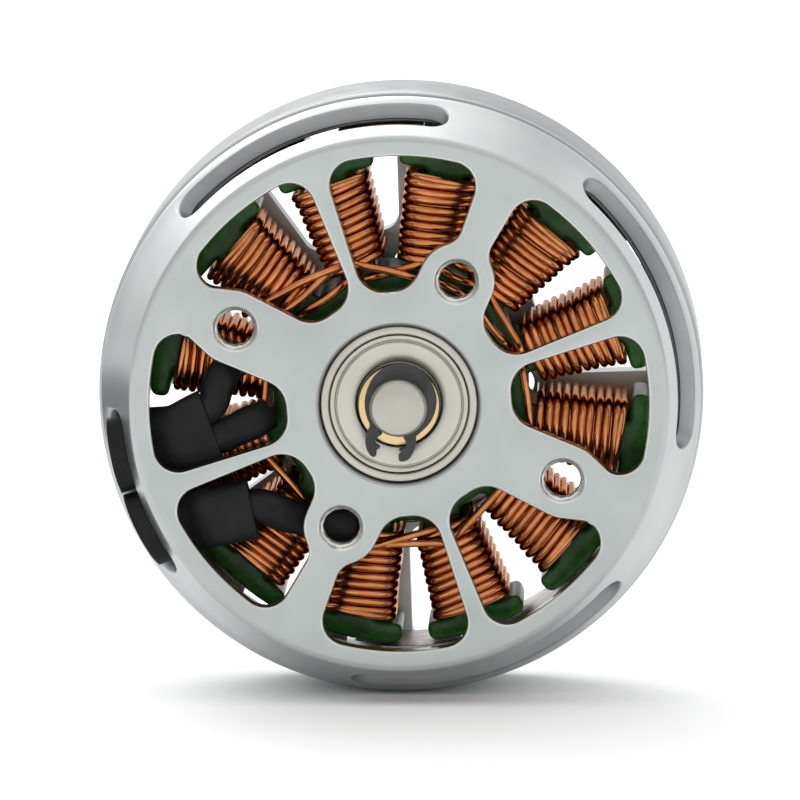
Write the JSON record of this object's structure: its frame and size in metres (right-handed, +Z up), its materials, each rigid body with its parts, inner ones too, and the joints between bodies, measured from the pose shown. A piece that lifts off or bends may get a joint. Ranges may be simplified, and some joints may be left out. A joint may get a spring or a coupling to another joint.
{
  "type": "brushless outrunner motor",
  "caption": "Open brushless outrunner motor with a slotted mounting plate, wound toothed stator, magnet bell on a central shaft and black-sleeved phase leads.",
  "frame": {"origin": "middle of the mounting face, on the shaft axis", "axes": "-Y out of the mounting face towards what the motor is bolted to, +Y towards the propeller end of the bell, +Z up with the lead exit to the left and slightly below the middle"},
  "size_m": [0.0424, 0.0223, 0.0424],
  "materials": {
    "blasted_aluminium": "fine matte bead-blasted faces, satin turned taper, bright chamfers",
    "bearing_steel": "polished ring",
    "shield_steel": "satin pressed shield",
    "cage_brass": "stamped, oiled",
    "shim_brass": "plain turned",
    "ground_steel": "ground, matte end",
    "black_steel": "black oxide spring steel",
    "lamination_steel": "stacked sheet edges",
    "magnet_nickel": "nickel plated",
    "green_epoxy": "glossy powder-coated epoxy",
    "enamelled_copper": "enamelled copper wire, glossy",
    "heat_shrink": "matte heat-shrink tube",
    "gold_plate": "gold plated"
  },
  "bodies": {
    "stator": {"base": "blasted_aluminium", "front_bearing_outer_ring": "bearing_steel", "rear_bearing_outer_ring": "bearing_steel", "front_bearing_front_shield": "shield_steel", "front_bearing_rear_shield": "shield_steel", "rear_bearing_front_shield": "shield_steel", "rear_bearing_rear_shield": "shield_steel", "stator_core": "lamination_steel", "front_insulation": "green_epoxy", "rear_insulation": "green_epoxy", "coil_01": "enamelled_copper", "coil_02": "enamelled_copper", "coil_03": "enamelled_copper", "coil_04": "enamelled_copper", "coil_05": "enamelled_copper", "coil_06": "enamelled_copper", "coil_07": "enamelled_copper", "coil_08": "enamelled_copper", "coil_09": "enamelled_copper", "coil_10": "enamelled_copper", "coil_11": "enamelled_copper", "coil_12": "enamelled_copper", "crossover_wire_a": "enamelled_copper", "crossover_wire_b": "enamelled_copper", "crossover_wire_c": "enamelled_copper", "lead_sleeve_ab": "heat_shrink", "lead_sleeve_c": "heat_shrink", "lead_tube_a": "heat_shrink", "lead_tube_b": "heat_shrink", "lead_tube_c": "heat_shrink", "bullet_socket_a": "gold_plate", "bullet_socket_b": "gold_plate", "bullet_socket_c": "gold_plate"},
    "rotor": {"bell": "blasted_aluminium", "flux_ring": "lamination_steel", "magnet_01": "magnet_nickel", "magnet_02": "magnet_nickel", "magnet_03": "magnet_nickel", "magnet_04": "magnet_nickel", "magnet_05": "magnet_nickel", "magnet_06": "magnet_nickel", "magnet_07": "magnet_nickel", "magnet_08": "magnet_nickel", "magnet_09": "magnet_nickel", "magnet_10": "magnet_nickel", "magnet_11": "magnet_nickel", "magnet_12": "magnet_nickel", "magnet_13": "magnet_nickel", "magnet_14": "magnet_nickel", "shaft": "ground_steel", "circlip": "black_steel", "brass_shim": "shim_brass", "front_bearing_inner_ring": "bearing_steel", "rear_bearing_inner_ring": "bearing_steel", "grub_screw_1": "black_steel", "grub_screw_2": "black_steel"},
    "front_cage": {"front_bearing_cage_and_balls": "cage_brass"},
    "rear_cage": {"rear_bearing_cage_and_balls": "cage_brass"}
  },
  "joints": [
    {"name": "rotor_spin", "type": "hinge", "parent": "stator", "child": "rotor", "pos_m": [0, 0.01, 0], "axis": [0, 1, 0], "continuous": true},
    {"name": "front_cage_spin", "type": "hinge", "parent": "stator", "child": "front_cage", "pos_m": [0, 0.0024, 0], "axis": [0, 1, 0], "continuous": true},
    {"name": "rear_cage_spin", "type": "hinge", "parent": "stator", "child": "rear_cage", "pos_m": [0, 0.0132, 0], "axis": [0, 1, 0], "continuous": true}
  ],
  "couplings": [
    {"joint": "front_cage_spin", "follows": "rotor_spin", "ratio": 0.4093},
    {"joint": "rear_cage_spin", "follows": "rotor_spin", "ratio": 0.4093}
  ]
}
